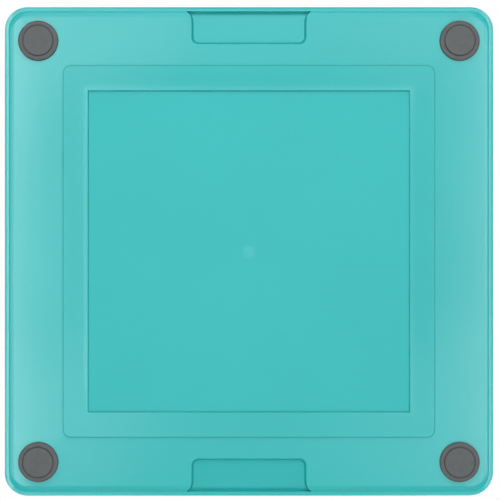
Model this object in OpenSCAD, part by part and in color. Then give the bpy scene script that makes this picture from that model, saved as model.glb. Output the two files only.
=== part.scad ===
// Dog lick mat: a soft licking mat that lies in a rigid moulded holder.
// The holder stands on four rubber feet and has a finger pocket under two of its edges.
// Millimetres, +Z up, origin on the floor under the middle of the holder.

/* [Lick mat] */
// Width and depth of the mat
mat_w = 200; // [180:1:230]
// Corner radius of the mat
mat_corner_r = 10; // [8:0.5:14]
// Thickness of the mat's flat sheet
mat_sheet = 2.5; // [2:0.1:3.2]
// Height of the bead round the mat's edge
bead_h = 6.5; // [6:0.1:8]
// Width of the bead round the mat's edge
bead_w = 4; // [3:0.1:6]
// Spacing of the licking nubs
nub_pitch = 9.4; // [8:0.1:12]
// Diameter of a nub at its foot
nub_d = 4.4; // [3.5:0.1:6]
// Diameter of a nub at its tip
nub_tip_d = 2.8; // [2:0.1:3.4]
// Height of the nubs and ridges above the sheet
nub_h = 3.2; // [2:0.1:4]
// Number of ridge pairs along one side of the middle field
ridge_pairs = 5; // [3:1:7]
// Length of one ridge
ridge_l = 12.6; // [9:0.1:14]
// Width of one ridge
ridge_w = 3.2; // [2:0.1:4]
// Width of the rib that frames the ridges
ridge_frame_w = 2.4; // [1.6:0.1:4]
// Least gap between the nubs and the bead
field_gap = 1.5; // [1:0.1:3]

/* [Holder] */
// Thickness of the holder's floor
wall = 3; // [2.4:0.1:4]
// Outer corner radius of the holder
corner_r = 11.5; // [10.5:0.5:18]
// Thickness of the rim wall
rim_wall = 2.2; // [2:0.1:3.2]
// Height of the rim above the underside
rim_h = 14.4; // [12.5:0.1:20]
// Width of the soft edge where the underside turns up to the rim
edge_w = 3; // [2.5:0.1:4.5]
// Height that this edge rises to the rim's lower face
edge_h = 0.5; // [0.3:0.1:1.4]
// Rounding of the rim's lower outer edge
rim_edge_r = 1.8; // [0.4:0.1:2]
// Rounding in the spill channel at the foot of the rim
channel_r = 5; // [4:0.1:6]
// Width of the spill channel round the mat
channel_w = 17.3; // [15.5:0.1:24]
// Thickness of the rib round the mat's seat
rib_wall = 2.5; // [2:0.1:3.5]
// Height of the rib above the floor
rib_h = 7; // [6.5:0.1:8]
// Gap between the mat and the rib
mat_clear = 0.5; // [0.3:0.1:1]
// Width of the notch in the rib that a finger lifts the mat at
notch_w = 30; // [20:1:50]
// Depth of that notch below the rib's top
notch_d = 4; // [2:0.1:5]

/* [Underside] */
// Distance of the raised square band inside the mat's seat
band_inset = 7.5; // [4:0.1:14]
// Width of the raised square band
band_w = 12.9; // [8:0.1:20]
// Height of the raised band
band_h = 1; // [0.6:0.1:1.4]
// Corner radius of the raised band
band_corner_r = 4; // [2:0.1:8]
// Depth of the middle panel below the band's face
panel_d = 1.2; // [0.6:0.1:1.8]
// Diameter of the moulding gate's mark in the panel
gate_d = 6; // [4:0.5:10]
// Depth of the gate's mark
gate_h = 0.4; // [0.2:0.1:0.6]

/* [Finger pockets] */
// Width of a pocket
pocket_w = 57; // [40:1:80]
// Reach of a pocket in from the rim wall
pocket_l = 16.4; // [12:0.1:17.2]
// Height of a pocket above the underside
pocket_h = 5.5; // [4.6:0.1:6.5]
// Corner radius at the pocket's inner end
pocket_r = 3.2; // [1.5:0.1:5]
// How much wider a pocket is on each side at its mouth
flare_w = 2.8; // [1.5:0.1:4]
// Length of that flare
flare_l = 5.5; // [4:0.1:7]

/* [Feet] */
// Diameter of a foot's flange
foot_d = 20; // [16:0.5:24]
// Thickness of the flange
foot_flange_h = 1.6; // [1.2:0.1:2.5]
// Diameter of the pad that meets the floor
foot_pad_d = 15; // [12:0.5:15.5]
// Height of the pad
foot_pad_h = 1; // [0.6:0.1:2]
// Rounding of the flange's and pad's edges
foot_r = 0.4; // [0.2:0.1:0.5]
// Distance of a foot's axis from the holder's outer faces
foot_edge = 17.2; // [16:0.1:20]
// Diameter of the spigot that plugs into the holder
spigot_d = 9; // [6:0.1:10]
// Length of the spigot
spigot_l = 3.8; // [3:0.1:5]
// Radial gap round the spigot and above it
socket_clear = 0.1; // [0.05:0.01:0.2]
// Wall round and above a foot's socket
socket_wall = 2.4; // [1.6:0.1:3]

/* [Hidden] */

// Straight steps in a quarter circle of an outline
arc_steps = 8;
// How far one solid runs into another that it is moulded with
weld = 0.6;
// How far a cutting shape runs past the face that it cuts
over = 1;
$fn = 64;

// Levels
underside_z = foot_pad_h + foot_flange_h;
floor_z = underside_z + wall;
band_z = underside_z - band_h;
panel_z = band_z + panel_d;
rim_low_z = underside_z + edge_h;
rim_top_z = underside_z + rim_h;
pocket_z = underside_z + pocket_h;

// Half widths, out from the middle
mat_half = mat_w / 2;
seat_half = mat_half + mat_clear;
seat_r = mat_corner_r + mat_clear;
rib_half = seat_half + rib_wall;
rim_inner_half = rib_half + channel_w;
holder_half = rim_inner_half + rim_wall;
foot_half = holder_half - foot_edge;
band_half = seat_half - band_inset;
panel_half = band_half - band_w;

// Width of the swept strip that holds the rim and its roundings
strip_w = rim_wall + channel_r + weld;
// Half width of the flat floor, which runs a little way into that strip
slab_half = holder_half - strip_w + weld;
slab_r = corner_r - strip_w + weld;

// The field of nubs and ridges is a square grid. A nub takes one square of it, a ridge takes two,
// and the rib that frames the ridges takes one row of squares round them.
ridge_half = ridge_pairs * nub_pitch;
frame_half = ridge_half + (nub_pitch + ridge_frame_w) / 2;
nub_start = ridge_half + nub_pitch;
nub_reach = mat_half - bead_w - field_gap - nub_d / 2;
nub_rows = floor(nub_reach / nub_pitch + 0.5);

// Points along an arc, with the angles in degrees
function arc(cx, cy, r, from, to, steps = arc_steps) =
    [for (i = [0:steps]) let (a = from + (to - from) * i / steps) [cx + r * cos(a), cy + r * sin(a)]];

// A square outline with round corners, centred
module rounded_square(half, r) {
    c = half - r;
    polygon(concat(
        arc(c, c, r, 0, 90),
        arc(-c, c, r, 90, 180),
        arc(-c, -c, r, 180, 270),
        arc(c, -c, r, 270, 360)
    ));
}

// A bar outline with round ends, centred
module round_bar(l, w) {
    c = (l - w) / 2;
    polygon(concat(arc(c, 0, w / 2, -90, 90), arc(-c, 0, w / 2, 90, 270)));
}

// Carries a profile round a square with round corners.
// The profile's outer face lies on x = 0 and its y is the height.
module square_sweep(half, r) {
    c = half - r;
    for (turn = [0:90:270]) rotate(turn) {
        translate([half, c, 0]) rotate([90, 0, 0]) linear_extrude(2 * c) children();
        translate([c, c, 0]) rotate_extrude(angle = 90) translate([r, 0]) children();
    }
}

// Places its children at each foot's axis
module at_feet() {
    for (x = [-1, 1], y = [-1, 1]) translate([x * foot_half, y * foot_half, 0]) children();
}

// Section through the rim: ledge, outer face, round top, channel fillet and soft underside edge
module rim_section() {
    top_r = rim_wall / 2;
    turn = 2 * atan(edge_h / edge_w);
    edge_r = edge_w / sin(turn);
    polygon(concat(
        arc(-rim_edge_r, rim_low_z + rim_edge_r, rim_edge_r, -90, 0),
        arc(-top_r, rim_top_z - top_r, top_r, 0, 180, 2 * arc_steps),
        arc(-rim_wall - channel_r, floor_z + channel_r, channel_r, 0, -90),
        [[-strip_w, floor_z], [-strip_w, underside_z]],
        arc(-rim_wall - edge_w, underside_z + edge_r, edge_r, -90, turn - 90)
    ));
}

// Section through the rib round the mat's seat, with a round top
module rib_section() {
    r = rib_wall / 2;
    polygon(concat(
        [[-rib_wall, floor_z - weld], [0, floor_z - weld]],
        arc(-r, floor_z + rib_h - r, r, 0, 180)
    ));
}

// Outline of a finger pocket in the edge that faces +Y, with its mouth flared at the rim wall
module pocket_outline() {
    w = pocket_w / 2;
    inner = rim_inner_half - pocket_l;
    turn = 2 * atan(flare_w / flare_l);
    flare_r = flare_l / sin(turn);
    polygon(concat(
        arc(w - pocket_r, inner + pocket_r, pocket_r, -90, 0),
        arc(w + flare_r, rim_inner_half - flare_l, flare_r, 180, 180 - turn),
        arc(-w - flare_r, rim_inner_half - flare_l, flare_r, turn, 0),
        arc(-w + pocket_r, inner + pocket_r, pocket_r, 180, 270)
    ));
}

// Raised cover over a finger pocket, which bridges the channel from the rib to the rim
module pocket_cover() {
    w = pocket_w + 2 * (flare_w + wall);
    l = rim_inner_half - rib_half + 2 * weld;
    translate([-w / 2, rib_half - weld, floor_z - weld]) cube([w, l, pocket_z + wall - floor_z + weld]);
}

// Scooped notch through the rib on the +X side
module rib_notch() {
    r = (pow(notch_w / 2, 2) + pow(notch_d, 2)) / (2 * notch_d);
    translate([seat_half - over, 0, floor_z + rib_h - notch_d + r])
        rotate([0, 90, 0]) cylinder(r = r, h = rib_wall + 2 * over);
}

module holder() {
    color("mediumturquoise") difference() {
        union() {
            square_sweep(holder_half, corner_r) rim_section();
            translate([0, 0, underside_z]) linear_extrude(wall) rounded_square(slab_half, slab_r);
            translate([0, 0, band_z]) linear_extrude(band_h + weld) rounded_square(band_half, band_corner_r);
            square_sweep(rib_half, seat_r + rib_wall) rib_section();
            for (turn = [0, 180]) rotate(turn) pocket_cover();
            at_feet() translate([0, 0, floor_z - weld])
                cylinder(d = spigot_d + 2 * socket_clear + 2 * socket_wall,
                    h = underside_z + spigot_l + socket_clear + socket_wall - floor_z + weld);
        }
        translate([0, 0, band_z - over]) linear_extrude(panel_d + over)
            square(2 * panel_half, center = true);
        translate([0, 0, panel_z - over]) cylinder(d = gate_d, h = gate_h + over);
        for (turn = [0, 180]) rotate(turn) {
            translate([0, 0, underside_z - over]) linear_extrude(pocket_h + over) pocket_outline();
            rib_notch();
        }
        at_feet() translate([0, 0, underside_z - over])
            cylinder(d = spigot_d + 2 * socket_clear, h = spigot_l + socket_clear + over);
    }
}

// Section through the bead round the mat's edge
module bead_section() {
    r = bead_w / 2;
    polygon(concat([[-bead_w, 0], [0, 0]], arc(-r, bead_h - r, r, 0, 180)));
}

// Short ridges in pairs, laid crosswise by turns like a basket weave
module ridges() {
    for (i = [0:ridge_pairs - 1], j = [0:ridge_pairs - 1])
        translate([(2 * i + 1) * nub_pitch - ridge_half, (2 * j + 1) * nub_pitch - ridge_half])
            rotate(90 * ((i + j) % 2))
                for (side = [-1, 1]) translate([0, side * nub_pitch / 2]) round_bar(ridge_l, ridge_w);
}

// Places its children at each nub
module at_nubs() {
    for (i = [-nub_rows:nub_rows - 1], j = [-nub_rows:nub_rows - 1]) {
        x = (i + 0.5) * nub_pitch;
        y = (j + 0.5) * nub_pitch;
        if (max(abs(x), abs(y)) > nub_start) translate([x, y, 0]) children();
    }
}

module lick_mat() {
    color("turquoise") translate([0, 0, floor_z]) {
        square_sweep(mat_half, mat_corner_r) bead_section();
        linear_extrude(mat_sheet) rounded_square(mat_half - bead_w / 2, mat_corner_r - bead_w / 2);
        translate([0, 0, mat_sheet - weld]) linear_extrude(nub_h + weld) {
            difference() {
                square(2 * frame_half, center = true);
                square(2 * (frame_half - ridge_frame_w), center = true);
            }
            ridges();
        }
        translate([0, 0, mat_sheet]) at_nubs() cylinder(d1 = nub_d, d2 = nub_tip_d, h = nub_h);
    }
}

// A push-in foot: pad, flange and spigot, turned about its axis
module foot() {
    color("dimgray") rotate_extrude() polygon(concat(
        [[0, 0]],
        arc(foot_pad_d / 2 - foot_r, foot_r, foot_r, -90, 0),
        arc(foot_d / 2 - foot_r, foot_pad_h + foot_r, foot_r, -90, 0),
        [[foot_d / 2, underside_z], [spigot_d / 2, underside_z]],
        [[spigot_d / 2, underside_z + spigot_l], [0, underside_z + spigot_l]]
    ));
}

module foot_at(x, y) translate([x * foot_half, y * foot_half, 0]) foot();

holder();
lick_mat();
foot_at(-1, -1);  // foot_front_left
foot_at(1, -1);  // foot_front_right
foot_at(-1, 1);  // foot_back_left
foot_at(1, 1);  // foot_back_right
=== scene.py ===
import math

import bmesh
import bpy
from mathutils import Matrix, Vector


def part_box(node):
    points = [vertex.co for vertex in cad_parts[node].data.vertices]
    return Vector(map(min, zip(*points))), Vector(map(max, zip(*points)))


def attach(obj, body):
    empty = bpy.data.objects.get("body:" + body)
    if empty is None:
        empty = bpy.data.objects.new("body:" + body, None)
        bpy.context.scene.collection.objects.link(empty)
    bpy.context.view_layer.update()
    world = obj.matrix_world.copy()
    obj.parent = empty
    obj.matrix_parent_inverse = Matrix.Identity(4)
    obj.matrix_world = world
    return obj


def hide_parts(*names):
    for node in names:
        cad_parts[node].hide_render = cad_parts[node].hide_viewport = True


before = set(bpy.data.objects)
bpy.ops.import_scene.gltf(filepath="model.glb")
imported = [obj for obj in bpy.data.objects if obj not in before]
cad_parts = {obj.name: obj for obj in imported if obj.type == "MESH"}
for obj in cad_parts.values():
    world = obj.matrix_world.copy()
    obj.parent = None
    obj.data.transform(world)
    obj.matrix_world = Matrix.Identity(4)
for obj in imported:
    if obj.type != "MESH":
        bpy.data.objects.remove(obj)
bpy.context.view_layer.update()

bl_info = {
    "name": "Dog lick mat",
    "version": (1, 0, 0),
    "blender": (4, 5, 0),
    "location": "3D View > Sidebar > Lick mat",
    "description": "Dresses the packed lick mat: moulded holder, soft mat, rubber feet and a plain stage",
    "category": "Object",
}

MM = 0.001
FEET = ("foot_front_left", "foot_front_right", "foot_back_left", "foot_back_right")
# Levels in the holder's CAD shape, by which its faces and edges are found
UNDERSIDE, PANEL, LEDGE = 2.6 * MM, 2.8 * MM, 3.1 * MM
CEILING, BOSS, COVER = 8.1 * MM, 8.9 * MM, 11.1 * MM
# Distances from the holder's middle, for the same use
PANEL_HALF, BAND_HALF, BAND_CORNER = 80.1 * MM, 93.0 * MM, 4.0 * MM
POCKET_START, POCKET_END, POCKET_HALF = 103.9 * MM, 120.3 * MM, 31.3 * MM
LEDGE_START = 116.9 * MM
GATE_ZONE = 5.0 * MM
# How near a point is to count as on a level, as the same point and as on a cut
NEAR, SAME, ON_CUT = 0.01 * MM, 0.002 * MM, 0.001 * MM
# A hair: how far a cut bites in, a groove's wall leans and a ridge's end may be off
HAIR = 0.05 * MM
# Turns at an edge: nearly none, shaded smooth, shaded smooth beside a level face, and a clear corner
FLAT_TURN, SMOOTH_TURN, BESIDE_TURN, CORNER_TURN = (math.radians(turn) for turn in (0.3, 38, 13, 50))
# A face within a few degrees of level has at least this much of its normal upright
LEVEL = math.cos(math.radians(4))
# Steps of a round corner, of a full circle and of the bend in the underside
CORNER_STEPS, CIRCLE_STEPS, BEND_STEPS = 8, 64, 6
# Side of the square picture in pixels, width of the camera's sensor, and the level that the scale holds at
PICTURE_SIDE, SENSOR, SCALE_LEVEL = 500, 36.0, 4.9 * MM
# The floor lies a hair below the feet, so that all of the part is seen through it from below
FLOOR_GAP = 0.05 * MM
# Half the floor's width, and the distances at which it starts to fade and is white
FLOOR_HALF, FADE_START, FADE_END = 4.0, 0.45, 1.3
# Name, place, size and power of each lamp, and what shows it: matt surfaces, gloss or both
LAMPS = (
    ("soft_below", (0.0, 0.0, -0.90), (0.5, 0.5), 1.4, "matt"),
    ("soft_back", (0.0, 0.50, -0.55), (0.6, 0.3), 2.35, "matt"),
    ("soft_front", (0.0, -0.50, -0.55), (0.6, 0.3), 1.55, "matt"),
    ("soft_right", (-0.50, 0.0, -0.55), (0.6, 0.3), 0.3, "matt"),
    ("key_above", (-0.55, -0.65, 0.95), (0.7, 0.7), 7.4, "both"),
    ("fill_above", (0.75, 0.10, 0.80), (0.8, 0.8), 4.6, "both"),
)
# White cards below the part, which only the gloss shows: their depth and length, how far from the axis
# each ring of cards starts and ends, and for each side its direction and the power of its card in each ring
CARD_DEPTH, CARD_LENGTH = 0.80, 0.6
CARD_RINGS = ((0.10, 0.19), (0.19, 0.26), (0.26, 0.36), (0.36, 0.50), (0.50, 0.75))
CARD_SIDES = (
    ("left", 1, 0, (0.29, 0.29, 2.0, 0.9, 1.8)),
    ("right", -1, 0, (0.11, 0.2, 1.3, 0.9, 2.8)),
    ("back", 0, 1, (0.0, 0.36, 0.54, 0.45, 1.2)),
    ("front", 0, -1, (0.24, 0.21, 0.08, 0.08, 0.1)),
)


def cards():
    """The white cards, as rows like the lamps'."""
    rows = []
    for side, x, y, powers in CARD_SIDES:
        for number, ((inner, outer), power) in enumerate(zip(CARD_RINGS, powers)):
            middle = (inner + outer) / 2
            place = (x * middle, y * middle, -CARD_DEPTH)
            if power > 0:
                rows.append((f"card_{side}_{number}", place, (CARD_LENGTH, outer - inner), power, "gloss"))
    return rows


def linear(hex_colour):
    """Linear RGB of an sRGB hex colour."""
    shares = [int(hex_colour[i:i + 2], 16) / 255 for i in (1, 3, 5)]
    return tuple(c / 12.92 if c <= 0.04045 else ((c + 0.055) / 1.055) ** 2.4 for c in shares)


def opaque(colour):
    """RGBA of an RGB colour, as node sockets take it."""
    return (*colour, 1.0)


def per_metre(millimetres):
    """Texture scale that gives a pattern of that size on Object coordinates."""
    return 1.0 / (millimetres * MM)


def length(name, description, millimetres):
    """A length property with its default in millimetres."""
    return bpy.props.FloatProperty(
        name=name, description=description, default=millimetres * MM, min=0.0,
        subtype="DISTANCE", unit="LENGTH", precision=5)


def colour(name, description, hex_colour):
    """A colour property with its default as sRGB hex."""
    return bpy.props.FloatVectorProperty(
        name=name, description=description, default=linear(hex_colour), size=3,
        min=0.0, max=1.0, subtype="COLOR")


def share(name, description, value):
    """A property that runs from 0 to 1."""
    return bpy.props.FloatProperty(
        name=name, description=description, default=value, min=0.0, max=1.0, subtype="FACTOR")


class HolderSettings(bpy.types.PropertyGroup):
    """Roundings, slopes, grooves and finish of the rigid holder."""

    band_round: length("Band rounding", "Rounding of the raised band's outer edge", 0.5)
    recess_round: length("Recess rounding", "Rounding of the edge of the sunk panel", 0.5)
    pocket_round: length("Pocket rounding", "Rounding of the finger pockets' edges", 0.5)
    pocket_depth: length("Pocket depth", "Depth of a pocket at the rim", 4.2)
    pocket_draft: length("Pocket draft", "How far a pocket's walls lean in towards its ceiling", 0.8)
    pocket_slope: bpy.props.FloatProperty(
        name="Pocket slope", description="Slope of a pocket's ceiling, deepest at the rim",
        default=math.radians(7.3), subtype="ANGLE", unit="ROTATION")
    top_round: length(
        "Top rounding", "Rounding of the pocket covers and foot bosses on the upper side", 0.6)
    strip_start: length(
        "Strip start", "Distance from the middle at which the edge strip starts to rise", 102.0)
    strip_blend: length("Strip blend", "Width over which the underside turns into the edge strip", 9.0)
    strip_slope: bpy.props.FloatProperty(
        name="Strip slope", description="Slope of the underside's edge strip", default=math.radians(2.6),
        subtype="ANGLE", unit="ROTATION")
    strip_fade: length("Strip fade", "Height above the ledge over which the strip's rise fades out", 0.8)
    lip: length("Lip", "How far the band's inner edge stands proud of its face", 0.13)
    lip_width: length("Lip width", "Width over which the band rises to that edge", 3.0)
    groove: length("Groove", "Width of the fine groove at the foot of the band and round each foot", 0.5)
    groove_depth: length("Groove depth", "Depth of the groove at the foot of the band", 0.8)
    seat_depth: length("Seat depth", "Depth of the groove round each foot", 1.0)
    gate_depth: length("Gate depth", "Depth of the gate mark", 0.2)
    gate_round: length("Gate rounding", "Rounding of the gate mark's edge", 0.15)
    plastic: colour("Plastic", "Colour of the moulded plastic", "#27B9BA")
    gloss_rough: share("Gloss roughness", "Roughness of the polished faces", 0.16)
    panel_rough: share("Panel roughness", "Roughness of the dull sunk panel", 0.63)
    # A painted highlight on the gate mark: how much of it, its pale colour and how far it reaches
    gate_highlight_paint: share("Gate blush", "Share of the blush colour in the gate mark", 0.1)
    highlight_paint: colour("Blush", "Colour that the gate mark pales to", "#99EFFE")
    gate_reach: length("Gate reach", "Radius of the pale gate mark", 4.4)


class MatSettings(bpy.types.PropertyGroup):
    """Sizes and finish of the soft mat's licking side."""

    sheet: length("Sheet", "Thickness of the mat's flat sheet", 2.5)
    corner: length("Corner", "Corner radius of the mat", 10.0)
    bead: length("Bead", "Width of the bead round the mat's edge", 4.0)
    pitch: length("Pitch", "Spacing of the licking nubs", 9.4)
    nub: length("Nub", "Radius of a nub at its foot", 2.2)
    nub_height: length("Nub height", "Height of nubs and ridges above the sheet", 3.2)
    ridge: length("Ridge", "Width of one ridge", 3.2)
    rib: length("Rib", "Width of the rib that frames the ridges", 2.4)
    field: bpy.props.IntProperty(
        name="Field", description="Half width of the field of ridges, in spacings", default=5, min=1)
    under_round: length("Lower rounding", "Rounding of the mat's lower edge", 0.5)
    ridge_round: length("Ridge rounding", "Rounding of the ridges' upper edges", 0.7)
    rib_round: length("Rib rounding", "Rounding of the rib's upper edges", 0.6)
    dome: length("Dome", "Rounding of a nub's tip", 1.1)
    draft: length("Draft", "How far the walls of ridges and rib lean in", 0.1)
    taper: length("Taper", "How far a nub draws in below its tip", 0.5)
    rubber: colour("Rubber", "Colour of the soft rubber", "#3BBFBB")
    # Painted light: the colour the nubs pale to at their tips, for light through the thin rubber
    tip: colour("Tips", "Colour of the thin, paler tips", "#58CBC6")


class FootSettings(bpy.types.PropertyGroup):
    """Sizes and finish of the push-in feet."""

    pad: length("Pad", "Radius of the pad that meets the floor", 7.5)
    pad_height: length("Pad height", "Height of the pad below the flange", 1.0)
    flange: length("Flange", "Thickness of the flange", 1.6)
    spigot: length("Spigot", "Radius of the spigot in the holder", 4.5)
    groove: length("Groove", "Width and depth of the groove round the pad", 0.4)
    edge: length("Edge", "Rounding of the pad's edge", 0.4)
    flange_edge: length("Flange edge", "Rounding of the flange's edge", 0.9)
    margin: length("Margin", "Width of the flat ring inside the pad's rounding", 0.6)
    rubber: colour("Rubber", "Colour of the foot rubber", "#525556")


class StageSettings(bpy.types.PropertyGroup):
    """Camera, light and floor."""

    distance: bpy.props.FloatProperty(
        name="Distance", description="Camera's distance below the floor", default=0.8,
        subtype="DISTANCE", unit="LENGTH")
    scale: bpy.props.FloatProperty(
        name="Scale", description="Pixels of the square picture per millimetre at the rim", default=1.9939)
    aside: bpy.props.FloatVectorProperty(
        name="Aside", description="Camera's offset from the middle", default=(-0.00055, 0.0007), size=2,
        subtype="XYZ", unit="LENGTH", precision=5)
    sky: share("Sky", "Strength of the world's light on the object", 0.3)
    floor: colour("Floor", "Colour of the floor", "#F2F2F2")


def add(tree, kind, inputs=None, **settings):
    """Adds a node to a tree, with its settings and with values or links for its inputs."""
    made = tree.nodes.new(kind)
    for name, value in settings.items():
        setattr(made, name, value)
    for socket, value in (inputs or {}).items():
        if isinstance(value, bpy.types.NodeSocket):
            tree.links.new(value, made.inputs[socket])
        else:
            made.inputs[socket].default_value = value
    return made


def new_material(name):
    """An empty node material and its tree."""
    material = bpy.data.materials.new(name)
    material.use_nodes = True
    material.node_tree.nodes.clear()
    return material, material.node_tree


def moulded_polypropylene(settings):
    """Polypropylene, injection-moulded in a polished tool.

    Even and opaque, with a soft gloss, faint flow clouds and long shallow waves that bend the
    highlights. The sunk panel is dull from a grained tool, so it looks flat and even. Round the gate mark
    in its middle, where the sprue was broken off, a pale painted highlight is mixed into the colour.
    """
    material, tree = new_material("polypropylene_moulded")
    place = add(tree, "ShaderNodeTexCoord").outputs["Object"]
    flow = add(tree, "ShaderNodeTexNoise", {
        "Vector": place, "Scale": per_metre(70), "Detail": 2.0, "Roughness": 0.5})
    base = Vector(settings.plastic)
    cloud = 0.015
    tone = add(tree, "ShaderNodeValToRGB", {"Fac": flow.outputs["Fac"]})
    darker, paler = tone.color_ramp.elements
    darker.position, paler.position = 0.3, 0.7
    darker.color, paler.color = opaque(base * (1 - cloud)), opaque(base * (1 + cloud))
    parts = add(tree, "ShaderNodeSeparateXYZ", {"Vector": place})
    level = add(tree, "ShaderNodeCombineXYZ", {"X": parts.outputs["X"], "Y": parts.outputs["Y"]})
    away = add(tree, "ShaderNodeVectorMath", {0: level.outputs[0]}, operation="LENGTH")
    aside = [add(tree, "ShaderNodeMath", {0: parts.outputs[axis]}, operation="ABSOLUTE") for axis in "XY"]
    square = add(tree, "ShaderNodeMath", {
        0: aside[0].outputs[0], 1: aside[1].outputs[0]}, operation="MAXIMUM")
    dull = add(tree, "ShaderNodeMapRange", {
        "Value": square.outputs[0], "From Min": PANEL_HALF - settings.recess_round, "From Max": PANEL_HALF,
        "To Min": settings.panel_rough, "To Max": settings.gloss_rough})
    # Painted highlight: the colour pales towards the middle of the gate mark
    highlight_paint = add(tree, "ShaderNodeMapRange", {
        "Value": away.outputs["Value"], "From Min": settings.gate_reach / 2,
        "From Max": settings.gate_reach, "To Min": settings.gate_highlight_paint, "To Max": 0.0},
        interpolation_type="SMOOTHSTEP")
    tint = add(tree, "ShaderNodeMix", {
        "Factor": highlight_paint.outputs["Result"], 6: tone.outputs["Color"], 7: opaque(settings.highlight_paint)},
        data_type="RGBA")
    wave = add(tree, "ShaderNodeTexNoise", {
        "Vector": place, "Scale": per_metre(45), "Detail": 1.0, "Roughness": 0.4})
    grain = add(tree, "ShaderNodeTexNoise", {
        "Vector": place, "Scale": per_metre(0.9), "Detail": 2.0, "Roughness": 0.5})
    waves = add(tree, "ShaderNodeBump", {
        "Height": wave.outputs["Fac"], "Strength": 1.0, "Distance": 0.15 * MM})
    bumps = add(tree, "ShaderNodeBump", {
        "Height": grain.outputs["Fac"], "Strength": 1.0, "Distance": 0.004 * MM,
        "Normal": waves.outputs["Normal"]})
    shader = add(tree, "ShaderNodeBsdfPrincipled", {
        "Base Color": tint.outputs[2], "Roughness": dull.outputs["Result"], "IOR": 1.49,
        "Specular IOR Level": 0.3, "Normal": bumps.outputs["Normal"]})
    add(tree, "ShaderNodeOutputMaterial", {"Surface": shader.outputs["BSDF"]})
    return material


def moulded_soft_rubber(settings, low, high):
    """Thermoplastic rubber, moulded soft in a fine matt tool.

    Matt, and a fine skin grain takes the shine off. The rubber is a little translucent, and the light
    through the thin nub tips is painted in, as colour that pales from the sheet up to the tips.
    """
    material, tree = new_material("thermoplastic_rubber_moulded")
    place = add(tree, "ShaderNodeTexCoord").outputs["Object"]
    parts = add(tree, "ShaderNodeSeparateXYZ", {"Vector": place})
    # Painted light: the colour pales from the sheet up to the nub tips, with random mottle added
    height = add(tree, "ShaderNodeMapRange", {
        "Value": parts.outputs["Z"], "From Min": low, "From Max": high}, interpolation_type="SMOOTHSTEP")
    cloud = add(tree, "ShaderNodeTexNoise", {
        "Vector": place, "Scale": per_metre(25), "Detail": 3.0, "Roughness": 0.55})
    mottle = add(tree, "ShaderNodeMapRange", {
        "Value": cloud.outputs["Fac"], "From Min": 0.3, "From Max": 0.7, "To Min": -0.12, "To Max": 0.12})
    paler = add(tree, "ShaderNodeMath", {0: height.outputs["Result"], 1: mottle.outputs["Result"]},
                operation="ADD", use_clamp=True)
    tone = add(tree, "ShaderNodeMix", {
        "Factor": paler.outputs[0], 6: opaque(settings.rubber), 7: opaque(settings.tip)}, data_type="RGBA")
    skin = add(tree, "ShaderNodeTexNoise", {
        "Vector": place, "Scale": per_metre(0.6), "Detail": 2.0, "Roughness": 0.6})
    rough = add(tree, "ShaderNodeMapRange", {
        "Value": skin.outputs["Fac"], "From Min": 0.3, "From Max": 0.7, "To Min": 0.55, "To Max": 0.68})
    bumps = add(tree, "ShaderNodeBump", {
        "Height": skin.outputs["Fac"], "Strength": 1.0, "Distance": 0.02 * MM})
    shader = add(tree, "ShaderNodeBsdfPrincipled", {
        "Base Color": tone.outputs[2], "Roughness": rough.outputs["Result"], "IOR": 1.5,
        "Normal": bumps.outputs["Normal"]})
    add(tree, "ShaderNodeOutputMaterial", {"Surface": shader.outputs["BSDF"]})
    return material


def moulded_foot_rubber(settings):
    """Filled rubber, moulded in a sparked tool.

    Dull dark grey with a fine even grain and a trace of dust in it.
    """
    material, tree = new_material("filled_rubber_moulded")
    place = add(tree, "ShaderNodeTexCoord").outputs["Object"]
    grain = add(tree, "ShaderNodeTexNoise", {
        "Vector": place, "Scale": per_metre(0.8), "Detail": 3.0, "Roughness": 0.6})
    dust = add(tree, "ShaderNodeTexNoise", {
        "Vector": place, "Scale": per_metre(4), "Detail": 3.0, "Roughness": 0.6})
    both = add(tree, "ShaderNodeMath", {0: grain.outputs["Fac"], 1: dust.outputs["Fac"]}, operation="ADD")
    base = Vector(settings.rubber)
    speckle = 0.12
    tone = add(tree, "ShaderNodeValToRGB", {"Fac": both.outputs[0]})
    darker, paler = tone.color_ramp.elements
    darker.position, paler.position = 0.7, 1.0
    darker.color, paler.color = opaque(base * (1 - speckle)), opaque(base * (1 + speckle))
    bumps = add(tree, "ShaderNodeBump", {
        "Height": grain.outputs["Fac"], "Strength": 1.0, "Distance": 0.05 * MM})
    shader = add(tree, "ShaderNodeBsdfPrincipled", {
        "Base Color": tone.outputs["Color"], "Roughness": 0.7, "IOR": 1.52, "Specular IOR Level": 0.3,
        "Normal": bumps.outputs["Normal"]})
    add(tree, "ShaderNodeOutputMaterial", {"Surface": shader.outputs["BSDF"]})
    return material


def came_through_floor(tree):
    """1 on a path that has come up through the clear side of the floor, 0 on any other."""
    path = add(tree, "ShaderNodeLightPath")
    return add(tree, "ShaderNodeMath", {
        0: path.outputs["Transparent Depth"], 1: 0.5}, operation="GREATER_THAN").outputs[0]


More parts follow.
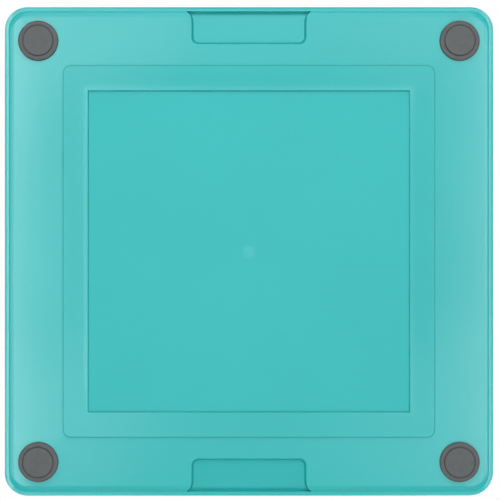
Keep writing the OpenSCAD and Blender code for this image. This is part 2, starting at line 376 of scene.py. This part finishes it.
def painted_floor(settings):
    """Matt painted board that fades to white away from the part.

    It is clear from below, and stays clear for light that has already come up through it.
    """
    material, tree = new_material("board_painted")
    place = add(tree, "ShaderNodeTexCoord").outputs["Object"]
    away = add(tree, "ShaderNodeVectorMath", {0: place}, operation="LENGTH")
    fade = add(tree, "ShaderNodeMapRange", {
        "Value": away.outputs["Value"], "From Min": FADE_START, "From Max": FADE_END},
        interpolation_type="SMOOTHSTEP")
    paint = add(tree, "ShaderNodeBsdfDiffuse", {"Color": opaque(settings.floor)})
    white = add(tree, "ShaderNodeEmission", {"Color": (1.0, 1.0, 1.0, 1.0), "Strength": 1.0})
    top = add(tree, "ShaderNodeMixShader", {
        "Fac": fade.outputs["Result"], 1: paint.outputs["BSDF"], 2: white.outputs["Emission"]})
    side = add(tree, "ShaderNodeNewGeometry")
    below = add(tree, "ShaderNodeMath", {
        0: side.outputs["Backfacing"], 1: came_through_floor(tree)}, operation="MAXIMUM")
    clear = add(tree, "ShaderNodeBsdfTransparent")
    board = add(tree, "ShaderNodeMixShader", {
        "Fac": below.outputs[0], 1: top.outputs["Shader"], 2: clear.outputs["BSDF"]})
    add(tree, "ShaderNodeOutputMaterial", {"Surface": board.outputs["Shader"]})
    return material


def new_object(name, data):
    """Links a mesh, camera or lamp to the scene, at the origin."""
    made = bpy.data.objects.new(name, data)
    bpy.context.scene.collection.objects.link(made)
    return made


def new_piece(name, bm, material, body, slot, *nodes, crisp=False):
    """Makes a piece that stands for CAD nodes and rides on their body.

    A crisp piece keeps its level faces flat up to the edge of a rounding.
    """
    bm.normal_update()
    for edge in bm.edges:
        levels = {abs(face.normal.z) > LEVEL for face in edge.link_faces}
        limit = BESIDE_TURN if crisp and len(levels) == 2 else SMOOTH_TURN
        edge.smooth = edge.is_manifold and edge.calc_face_angle() < limit
    for face in bm.faces:
        face.smooth = True
    if any(not edge.is_manifold for edge in bm.edges):
        raise RuntimeError(f"{name} is not closed")
    mesh = bpy.data.meshes.new(name)
    bm.to_mesh(mesh)
    bm.free()
    mesh.materials.append(material)
    made = new_object(name, mesh)
    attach(made, body)
    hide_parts(*nodes)
    return made


def rounding(radius, steps=3, hollow=False, down=False):
    """Steps of a quarter circle from wall to face, or the other way if hollow.

    Each step is (inward, along the normal).
    """
    turns = [math.pi / 2 * i / steps for i in range(steps + 1)]
    rising = [radius * math.sin(a) for a in turns]
    turning = [radius * (1 - math.cos(a)) for a in turns]
    inward, along = (rising, turning) if hollow else (turning, rising)
    sign = -1 if down else 1
    return [(inward[i + 1] - inward[i], sign * (along[i + 1] - along[i])) for i in range(steps)]


def carry(bm, faces, steps, region=True):
    """Carries faces through inset steps, each (inward, along the normal)."""
    inset = bmesh.ops.inset_region if region else bmesh.ops.inset_individual
    for inward, along in steps:
        inset(bm, faces=faces, thickness=inward, depth=along, use_even_offset=True)


def thicken(bm, face, height):
    """Extrudes a lone face upwards. Gives the lower and the upper face, both pointing outwards."""
    grown = bmesh.ops.extrude_face_region(bm, geom=[face])["geom"]
    bmesh.ops.translate(
        bm, vec=(0, 0, height), verts=[v for v in grown if isinstance(v, bmesh.types.BMVert)])
    bmesh.ops.recalc_face_normals(bm, faces=bm.faces)
    level = sorted((f for f in bm.faces if abs(f.normal.z) > LEVEL), key=lambda f: f.calc_center_median().z)
    return level[0], level[-1]


def round_edges(bm, edges, radius, segments=3):
    """Rounds sharp edges over."""
    bmesh.ops.bevel(
        bm, geom=edges, offset=radius, offset_type="OFFSET", segments=segments, profile=0.5,
        affect="EDGES", clamp_overlap=False, material=-1)


def sharp_edges(bm, test):
    """Edges with a clear corner whose two ends both pass a test."""
    return [e for e in bm.edges
            if e.is_manifold and e.calc_face_angle() > CORNER_TURN
            and all(test(v.co) for v in e.verts)]


def carve(bm, tool):
    """Takes a tool's shape out of a shape. Both are closed, and both are used up."""
    pair = []
    for shape in (bm, tool):
        mesh = bpy.data.meshes.new("carving")
        shape.to_mesh(mesh)
        shape.free()
        pair.append(new_object("carving", mesh))
    made, cutter = pair
    carving = made.modifiers.new("carving", "BOOLEAN")
    carving.operation, carving.solver, carving.object = "DIFFERENCE", "EXACT", cutter
    carved = bmesh.new()
    carved.from_object(made, bpy.context.evaluated_depsgraph_get())
    for each in pair:
        bpy.data.objects.remove(each)
    return carved


def groove_tool(settings):
    """Rings that cut a fine groove at the foot of the band and round each foot.

    They start a little below the underside, and the first bites a hair into the band.
    """
    bm = bmesh.new()
    lead = 0.2 * MM
    start = UNDERSIDE - lead
    half = BAND_HALF + settings.groove
    bmesh.ops.create_grid(
        bm, x_segments=1, y_segments=1, size=half, matrix=Matrix.Translation((0, 0, start)))
    bmesh.ops.bevel(
        bm, geom=list(bm.verts), offset=BAND_CORNER + settings.groove, offset_type="OFFSET",
        segments=CORNER_STEPS, profile=0.5, affect="VERTICES", material=-1)
    loops = [(bm.faces[:][0], settings.groove + HAIR, settings.groove_depth)]
    for name in FEET:
        low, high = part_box(name)
        centre = Matrix.Translation(((low.x + high.x) / 2, (low.y + high.y) / 2, start))
        radius = (high.x - low.x) / 2 + settings.groove
        rim = bmesh.ops.create_circle(
            bm, cap_ends=True, radius=radius, segments=CIRCLE_STEPS, matrix=centre)["verts"]
        loops.append((rim[0].link_faces[0], 2 * settings.groove, settings.seat_depth))
    for face, width, depth in loops:
        ring = bmesh.ops.inset_region(bm, faces=[face], thickness=width, use_even_offset=True)["faces"]
        bmesh.ops.delete(bm, geom=[face], context="FACES")
        grown = bmesh.ops.extrude_face_region(bm, geom=ring)["geom"]
        bmesh.ops.translate(
            bm, vec=(0, 0, UNDERSIDE + depth - start),
            verts=[v for v in grown if isinstance(v, bmesh.types.BMVert)])
    bmesh.ops.recalc_face_normals(bm, faces=bm.faces)
    return bm


class LICKMAT_OT_holder(bpy.types.Operator):
    """Dress the rigid holder: the CAD shape with rounded edges, sloped pockets, rising strip and grooves"""

    bl_idname = "lickmat.holder"
    bl_label = "Holder"

    def execute(self, context):
        settings = context.scene.lickmat_holder
        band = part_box("holder")[0].z
        bm = bmesh.new()
        bm.from_mesh(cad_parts["holder"].data)
        bmesh.ops.remove_doubles(bm, verts=bm.verts, dist=SAME)
        bmesh.ops.dissolve_limit(
            bm, angle_limit=FLAT_TURN, use_dissolve_boundaries=False, verts=bm.verts, edges=bm.edges)

        def out(p):
            """How far out a point lies, on squares round the middle."""
            return max(abs(p.x), abs(p.y))

        def on_band(p):
            return abs(p.z - band) < NEAR

        def in_pocket(p):
            return abs(p.x) < POCKET_HALF + MM and abs(p.y) > POCKET_START - MM

        def at_gate(p):
            return math.hypot(p.x, p.y) < GATE_ZONE

        # The band's edges
        middle = (PANEL_HALF + BAND_HALF) / 2
        round_edges(bm, sharp_edges(bm, lambda p: on_band(p) and out(p) > middle), settings.band_round)
        round_edges(bm, sharp_edges(bm, lambda p: on_band(p) and out(p) < middle), settings.recess_round)
        # The gate mark, which is shallower than in the CAD shape
        for vert in bm.verts:
            if at_gate(vert.co) and PANEL + NEAR < vert.co.z < LEDGE + MM:
                vert.co.z = PANEL + settings.gate_depth
        round_edges(
            bm, sharp_edges(bm, lambda p: at_gate(p) and abs(p.z - PANEL) < NEAR), settings.gate_round)
        # The pockets: a sloping ceiling, leaning walls and a rounded edge up to the ledge
        ceiling = UNDERSIDE + settings.pocket_depth
        for vert in bm.verts:
            if abs(vert.co.z - CEILING) < NEAR and in_pocket(vert.co):
                deep = POCKET_END - abs(vert.co.y)
                lean = settings.pocket_draft * deep / (POCKET_END - POCKET_START)
                vert.co.x *= 1 - settings.pocket_draft / POCKET_HALF
                vert.co.y += math.copysign(lean, vert.co.y)
                vert.co.z = ceiling - deep * math.tan(settings.pocket_slope)
        round_edges(bm, sharp_edges(
            bm, lambda p: in_pocket(p) and p.z < LEDGE + NEAR and out(p) < LEDGE_START),
            settings.pocket_round)
        # The covers and bosses on the upper side
        round_edges(bm, [e for e in sharp_edges(bm, lambda p: abs(p.z - COVER) < NEAR) if e.is_convex],
                    settings.top_round)
        round_edges(bm, sharp_edges(bm, lambda p: abs(p.z - BOSS) < NEAR), settings.top_round)

        def cut(test, distances):
            """Cuts faces whose corners pass a test: along the diagonals and squares round the middle."""
            planes = [((0, 0, 0), (1, -1, 0)), ((0, 0, 0), (1, 1, 0))]
            for place in distances:
                planes += [((sign * place, 0, 0), (1, 0, 0)) for sign in (-1, 1)]
                planes += [((0, sign * place, 0), (0, 1, 0)) for sign in (-1, 1)]
            for point, way in planes:
                faces = [f for f in bm.faces if all(test(v.co) for v in f.verts)]
                geom = list({x for f in faces for x in (*f.verts, *f.edges)}) + faces
                bmesh.ops.bisect_plane(bm, geom=geom, dist=ON_CUT, plane_co=point, plane_no=way)

        # The band's face rises to its inner edge
        lip_end = PANEL_HALF + settings.recess_round + settings.lip_width
        cut(on_band, [lip_end, lip_end - settings.lip_width / 2])
        for vert in bm.verts:
            if on_band(vert.co):
                rise = max(0.0, lip_end - out(vert.co)) / settings.lip_width
                vert.co.z -= settings.lip * rise ** 2

        # The edge strip turns up from the underside, and its rise fades out in the rim
        blend = settings.strip_blend
        strip = settings.strip_start - blend / 2
        cut(lambda p: UNDERSIDE - NEAR < p.z < LEDGE + NEAR and out(p) > BAND_HALF - MM,
            [strip + blend * i / BEND_STEPS for i in range(BEND_STEPS + 1)])
        slope = math.tan(settings.strip_slope)
        fade_end = LEDGE + settings.strip_fade
        for vert in bm.verts:
            run = out(vert.co) - strip
            if vert.co.z < fade_end and run > 0:
                rise = run ** 2 / (2 * blend) if run < blend else run - blend / 2
                vert.co.z += slope * rise * min(1.0, (fade_end - vert.co.z) / settings.strip_fade)
        bm = carve(bm, groove_tool(settings))
        material = moulded_polypropylene(settings)
        made = new_piece(
            "holder_moulding", bm, material, "holder", "holder_plastic", "holder", crisp=True)
        weighted = made.modifiers.new("weighted_normals", "WEIGHTED_NORMAL")
        weighted.keep_sharp = True
        return {"FINISHED"}


class LICKMAT_OT_mat(bpy.types.Operator):
    """Dress the soft mat: sheet, bead, nubs, ridges and the rib round the ridges, as one skin"""

    bl_idname = "lickmat.mat"
    bl_label = "Mat"

    def execute(self, context):
        settings = context.scene.lickmat_mat
        low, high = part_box("lick_mat")
        sheet = low.z + settings.sheet
        pitch = settings.pitch
        # The sheet and the bead round its edge
        bm = bmesh.new()
        bmesh.ops.create_grid(
            bm, x_segments=1, y_segments=1, size=high.x, matrix=Matrix.Translation((0, 0, low.z)))
        bmesh.ops.bevel(
            bm, geom=list(bm.verts), offset=settings.corner, offset_type="OFFSET", segments=CORNER_STEPS,
            profile=0.5, affect="VERTICES", material=-1)
        crown = settings.bead / 2
        bottom = thicken(bm, bm.faces[:][0], high.z - crown - low.z)[0]
        round_edges(bm, list(bottom.edges), settings.under_round)
        top = max(bm.faces, key=lambda f: f.calc_center_median().z)
        carry(bm, [top], rounding(crown, 4) + rounding(crown, 4, hollow=True, down=True))
        carry(bm, [top], [(0.0, sheet - high.z + crown)])
        # A grid of cells in place of the sheet's upper face
        bmesh.ops.delete(bm, geom=[top], context="FACES_ONLY")
        rows = round(2 * (high.x - settings.bead) // pitch)
        grid = bmesh.ops.create_grid(
            bm, x_segments=rows, y_segments=rows, size=rows * pitch / 2,
            matrix=Matrix.Translation((0, 0, sheet)))
        cells = list({f for v in grid["verts"] for f in v.link_faces})
        bmesh.ops.bridge_loops(bm, edges=[e for e in bm.edges if e.is_boundary])

        def ring(face):
            """How many spacings out a face's middle lies, on squares round the middle."""
            centre = face.calc_center_median()
            return max(abs(centre.x), abs(centre.y)) / pitch

        def raised(lean, radius):
            """Steps of a wall that leans in as it rises and is rounded over at its top."""
            return [(lean, settings.nub_height - radius)] + rounding(radius)

        field = settings.field
        nubs = [f for f in cells if ring(f) > field + 1]
        rib_cells = [f for f in cells if field < ring(f) < field + 1]
        # In each block of two by two cells, the cells are joined in pairs, by turns along X and along Y
        halves = []
        for edge in {e for f in cells if ring(f) < field for e in f.edges}:
            middle = (edge.verts[0].co + edge.verts[1].co) / 2 / pitch
            across = abs(edge.verts[0].co.x - edge.verts[1].co.x) < pitch / 2
            along = middle.x if across else middle.y
            pair = (math.floor((middle.x + field) / 2) + math.floor((middle.y + field) / 2)) % 2
            if abs(along) < field and (round(along) + field) % 2 == 1 and pair == (0 if across else 1):
                halves.append(edge)
        bmesh.ops.dissolve_edges(bm, edges=halves, use_verts=False)
        ridges = [f for f in bm.faces if ring(f) < field and round(f.calc_area() / pitch ** 2) == 2]
        # Each pair becomes a ridge with round ends
        carry(bm, ridges, [((pitch - settings.ridge) / 2, 0.0)], region=False)
        radius = settings.ridge / 2
        for face in ridges:
            ends = [e for e in face.edges if abs(e.calc_length() - settings.ridge) < HAIR]
            bmesh.ops.bisect_edges(bm, edges=ends, cuts=5, edge_percents={})
            centre = face.calc_center_bounds()
            spread = [max(abs((v.co - centre)[i]) for v in face.verts) for i in (0, 1)]
            axis = 0 if spread[0] > spread[1] else 1
            straight = spread[axis] - radius
            for vert in face.verts:
                off = vert.co - centre
                if abs(off[axis]) > spread[axis] - HAIR:
                    turn = off[1 - axis] / radius * math.pi / 2
                    off[axis] = math.copysign(straight + radius * math.cos(turn), off[axis])
                    off[1 - axis] = radius * math.sin(turn)
                    vert.co = centre + off
        carry(bm, ridges, raised(settings.draft, settings.ridge_round), region=False)
        carry(bm, rib_cells, [((pitch - settings.rib) / 2, 0.0)])
        carry(bm, rib_cells, raised(settings.draft, settings.rib_round))

        # Each outer cell becomes a round nub
        carry(bm, nubs, [(pitch / 2 - settings.nub, 0.0)], region=False)
        bmesh.ops.bisect_edges(bm, edges=list({e for f in nubs for e in f.edges}), cuts=2, edge_percents={})
        for face in nubs:
            centre = face.calc_center_bounds()
            verts = face.verts[:]
            offs = [v.co - centre for v in verts]
            first = max(range(len(verts)), key=lambda i: offs[i].x + offs[i].y)
            for i in range(len(verts)):
                turn = math.pi / 4 + 2 * math.pi * i / len(verts)
                place = settings.nub * Vector((math.cos(turn), math.sin(turn), 0))
                verts[(first + i) % len(verts)].co = centre + place
        carry(bm, nubs, raised(settings.taper, settings.dome), region=False)
        bmesh.ops.recalc_face_normals(bm, faces=bm.faces)
        material = moulded_soft_rubber(settings, sheet, sheet + settings.nub_height)
        new_piece("mat_moulding", bm, material, "mat", "mat_rubber", "lick_mat")
        return {"FINISHED"}


class LICKMAT_OT_feet(bpy.types.Operator):
    """Dress the four push-in feet: pad, flange and spigot"""

    bl_idname = "lickmat.feet"
    bl_label = "Feet"

    def execute(self, context):
        settings = context.scene.lickmat_feet
        material = moulded_foot_rubber(settings)
        for name in FEET:
            low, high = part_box(name)
            radius = (high.x - low.x) / 2
            step = low.z + settings.pad_height
            back = step + settings.flange
            edge, flange_edge = settings.edge, settings.flange_edge
            bm = bmesh.new()
            bmesh.ops.create_circle(
                bm, cap_ends=True, radius=radius, segments=CIRCLE_STEPS,
                matrix=Matrix.Translation(((low.x + high.x) / 2, (low.y + high.y) / 2, step + flange_edge)))
            bottom, top = thicken(bm, bm.faces[:][0], back - step - flange_edge)
            carry(bm, [bottom], rounding(flange_edge, 4))
            carry(bm, [bottom], [(radius - settings.pad - flange_edge - settings.groove, 0.0)])
            carry(bm, [bottom], [(HAIR, -settings.groove), (settings.groove - HAIR, 0.0)])
            carry(bm, [bottom], [(0.0, settings.pad_height + settings.groove - edge)] + rounding(edge))
            carry(bm, [bottom], [(settings.margin, 0.0)])
            carry(bm, [top], [(radius - settings.spigot, 0.0), (0.0, high.z - back)])
            new_piece(name + "_rubber", bm, material, "holder", "foot_rubber", name)
        return {"FINISHED"}


class LICKMAT_OT_stage(bpy.types.Operator):
    """Set up the camera under the part, soft lamps, a white world and a pale floor"""

    bl_idname = "lickmat.stage"
    bl_label = "Stage"

    def execute(self, context):
        settings = context.scene.lickmat_stage
        scene = context.scene
        scene.view_settings.view_transform = "Standard"
        camera = bpy.data.cameras.new("camera")
        camera.sensor_width = SENSOR
        camera.lens = settings.scale / MM * (settings.distance + SCALE_LEVEL) * SENSOR / PICTURE_SIDE
        seat = new_object("camera", camera)
        seat.location = (settings.aside[0], settings.aside[1], -settings.distance)
        seat.rotation_euler = (0.0, math.pi, 0.0)
        scene.camera = seat

        for name, place, size, power, shown_by in (*LAMPS, *cards()):
            lamp = bpy.data.lights.new(name, "AREA")
            lamp.shape = "RECTANGLE"
            lamp.size, lamp.size_y = size
            lamp.energy = power
            # A lamp under the floor lights only what is seen through the floor
            if place[2] < 0:
                lamp.use_nodes = True
                tree = lamp.node_tree
                tree.nodes.clear()
                light = add(tree, "ShaderNodeEmission", {"Strength": came_through_floor(tree)})
                add(tree, "ShaderNodeOutputLight", {"Surface": light.outputs["Emission"]})
            made = new_object(name, lamp)
            made.location = place
            made.rotation_euler = Vector(place).to_track_quat("Z", "Y").to_euler()
            made.visible_camera = False
            made.visible_diffuse = shown_by != "gloss"
            made.visible_glossy = shown_by != "matt"

        world = bpy.data.worlds.new("white_room")
        world.use_nodes = True
        tree = world.node_tree
        tree.nodes.clear()
        path = add(tree, "ShaderNodeLightPath")
        seen = add(tree, "ShaderNodeMath", {
            0: path.outputs["Is Camera Ray"], 1: path.outputs["Is Glossy Ray"]}, operation="MAXIMUM")
        seen = add(tree, "ShaderNodeMath", {
            0: seen.outputs[0], 1: path.outputs["Is Transmission Ray"]}, operation="MAXIMUM")
        # Light from below counts on the first matt surface only, so that hollows stay dark
        deep = add(tree, "ShaderNodeMath", {
            0: path.outputs["Diffuse Depth"], 1: 1.5}, operation="GREATER_THAN")
        place = add(tree, "ShaderNodeTexCoord").outputs["Generated"]
        way = add(tree, "ShaderNodeSeparateXYZ", {"Vector": place})
        down = add(tree, "ShaderNodeMath", {0: way.outputs["Z"], 1: 0.0}, operation="LESS_THAN")
        dark = add(tree, "ShaderNodeMath", {0: deep.outputs[0], 1: down.outputs[0]}, operation="MULTIPLY")
        light = add(tree, "ShaderNodeMapRange", {
            "Value": dark.outputs[0], "To Min": settings.sky, "To Max": 0.0})
        strength = add(tree, "ShaderNodeMix", {
            "Factor": seen.outputs[0], 2: light.outputs["Result"], 3: 1.0}, data_type="FLOAT")
        sky = add(tree, "ShaderNodeBackground", {
            "Color": (1.0, 1.0, 1.0, 1.0), "Strength": strength.outputs[0]})
        add(tree, "ShaderNodeOutputWorld", {"Surface": sky.outputs["Background"]})
        world.cycles.sampling_method = "NONE"
        scene.world = world

        bm = bmesh.new()
        bmesh.ops.create_grid(
            bm, x_segments=1, y_segments=1, size=FLOOR_HALF, matrix=Matrix.Translation((0, 0, -FLOOR_GAP)))
        mesh = bpy.data.meshes.new("floor")
        bm.to_mesh(mesh)
        bm.free()
        mesh.materials.append(painted_floor(settings))
        floor = new_object("floor", mesh)
        floor.visible_diffuse = floor.visible_transmission = floor.visible_shadow = False
        return {"FINISHED"}


class LICKMAT_PT_panel(bpy.types.Panel):
    """Sizes, colours and pieces of the lick mat"""

    bl_label = "Lick mat"
    bl_idname = "LICKMAT_PT_panel"
    bl_space_type = "VIEW_3D"
    bl_region_type = "UI"
    bl_category = "Lick mat"

    def draw(self, context):
        for operator, group in PIECES:
            box = self.layout.box()
            box.operator(operator.bl_idname)
            settings = getattr(context.scene, group)
            for name in settings.__annotations__:
                box.prop(settings, name)


GROUPS = {
    "lickmat_holder": HolderSettings,
    "lickmat_mat": MatSettings,
    "lickmat_feet": FootSettings,
    "lickmat_stage": StageSettings,
}
PIECES = (
    (LICKMAT_OT_holder, "lickmat_holder"),
    (LICKMAT_OT_mat, "lickmat_mat"),
    (LICKMAT_OT_feet, "lickmat_feet"),
    (LICKMAT_OT_stage, "lickmat_stage"),
)
CLASSES = (*GROUPS.values(), *(operator for operator, group in PIECES), LICKMAT_PT_panel)


def register():
    for each in CLASSES:
        bpy.utils.register_class(each)
    for name, group in GROUPS.items():
        setattr(bpy.types.Scene, name, bpy.props.PointerProperty(type=group))


def unregister():
    for name in GROUPS:
        delattr(bpy.types.Scene, name)
    for each in reversed(CLASSES):
        bpy.utils.unregister_class(each)


def main():
    register()
    bpy.ops.lickmat.holder()
    bpy.ops.lickmat.mat()
    bpy.ops.lickmat.feet()
    bpy.ops.lickmat.stage()


if __name__ == "__main__":
    main()
